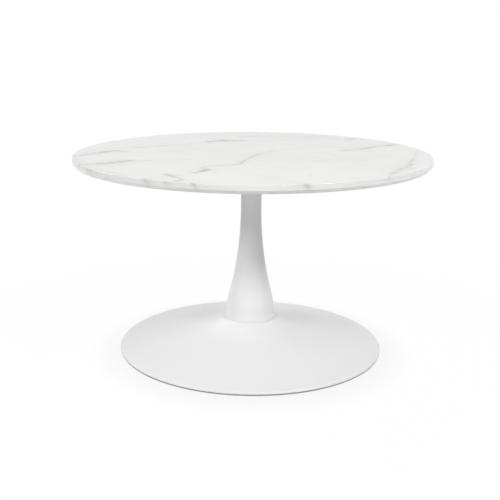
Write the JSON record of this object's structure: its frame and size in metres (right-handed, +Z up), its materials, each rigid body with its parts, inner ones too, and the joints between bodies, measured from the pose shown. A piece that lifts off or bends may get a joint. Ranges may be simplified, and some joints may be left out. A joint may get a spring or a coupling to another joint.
{
  "type": "round cocktail table",
  "caption": "Round low table: a marble-look disc with an undercut edge on a white trumpet column that flares into a wide dished base with screw glides.",
  "frame": {"origin": "on the floor, under the middle of the table", "axes": "+Z up along the column, +X to the right and +Y to the back as seen in the picture"},
  "size_m": [0.8, 0.8, 0.455],
  "materials": {
    "marble_laminate": "satin marble-look laminate with fine grey veins",
    "fibreboard": "raw fibreboard",
    "white_sheet": "matt white balancing sheet",
    "white_powder_coat": "satin white powder coat on spun steel",
    "zinc_steel": "zinc-plated steel",
    "brass": "plain brass",
    "black_iron": "black-painted iron",
    "black_rubber": "soft black foam rubber",
    "white_nylon": "white nylon",
    "black_nylon": "black nylon",
    "grey_felt": "pressed felt"
  },
  "bodies": {
    "table": {"marble_laminate": "marble_laminate", "tabletop_core": "fibreboard", "underside_sheet": "white_sheet", "threaded_inserts": "brass", "top_plate": "white_powder_coat", "plate_washers": "zinc_steel", "plate_screws": "zinc_steel", "column": "white_powder_coat", "column_socket": "zinc_steel", "column_foot_ring": "zinc_steel", "seam_gasket": "white_nylon", "base_cover": "white_powder_coat", "centre_hub": "black_iron", "hub_screws": "zinc_steel", "ballast_plate": "black_iron", "cover_cushion": "black_rubber", "tie_rod": "zinc_steel", "tie_rod_washer": "zinc_steel", "tie_rod_spring_washer": "zinc_steel", "tie_rod_nut": "zinc_steel"},
    "glide_foot_front_left": {"glide_pad_front_left": "black_nylon", "glide_felt_front_left": "grey_felt"},
    "glide_screw_front_left": {"glide_stem_front_left": "zinc_steel"},
    "glide_foot_front_right": {"glide_pad_front_right": "black_nylon", "glide_felt_front_right": "grey_felt"},
    "glide_screw_front_right": {"glide_stem_front_right": "zinc_steel"},
    "glide_foot_back_left": {"glide_pad_back_left": "black_nylon", "glide_felt_back_left": "grey_felt"},
    "glide_screw_back_left": {"glide_stem_back_left": "zinc_steel"},
    "glide_foot_back_right": {"glide_pad_back_right": "black_nylon", "glide_felt_back_right": "grey_felt"},
    "glide_screw_back_right": {"glide_stem_back_right": "zinc_steel"}
  },
  "joints": [
    {"name": "glide_height_front_left", "type": "slide", "parent": "table", "child": "glide_foot_front_left", "axis": [0, 0, -1], "range_m": [0, 0.006]},
    {"name": "glide_turn_front_left", "type": "hinge", "parent": "glide_foot_front_left", "child": "glide_screw_front_left", "pos_m": [-0.16034, -0.16034, 0.004], "axis": [0, 0, -1], "range_deg": [0, 1728]},
    {"name": "glide_height_front_right", "type": "slide", "parent": "table", "child": "glide_foot_front_right", "axis": [0, 0, -1], "range_m": [0, 0.006]},
    {"name": "glide_turn_front_right", "type": "hinge", "parent": "glide_foot_front_right", "child": "glide_screw_front_right", "pos_m": [0.16034, -0.16034, 0.004], "axis": [0, 0, -1], "range_deg": [0, 1728]},
    {"name": "glide_height_back_left", "type": "slide", "parent": "table", "child": "glide_foot_back_left", "axis": [0, 0, -1], "range_m": [0, 0.006]},
    {"name": "glide_turn_back_left", "type": "hinge", "parent": "glide_foot_back_left", "child": "glide_screw_back_left", "pos_m": [-0.16034, 0.16034, 0.004], "axis": [0, 0, -1], "range_deg": [0, 1728]},
    {"name": "glide_height_back_right", "type": "slide", "parent": "table", "child": "glide_foot_back_right", "axis": [0, 0, -1], "range_m": [0, 0.006]},
    {"name": "glide_turn_back_right", "type": "hinge", "parent": "glide_foot_back_right", "child": "glide_screw_back_right", "pos_m": [0.16034, 0.16034, 0.004], "axis": [0, 0, -1], "range_deg": [0, 1728]}
  ],
  "couplings": [
    {"joint": "glide_turn_front_left", "follows": "glide_height_front_left", "rad_per_m": 5026.5},
    {"joint": "glide_turn_front_right", "follows": "glide_height_front_right", "rad_per_m": 5026.5},
    {"joint": "glide_turn_back_left", "follows": "glide_height_back_left", "rad_per_m": 5026.5},
    {"joint": "glide_turn_back_right", "follows": "glide_height_back_right", "rad_per_m": 5026.5}
  ]
}
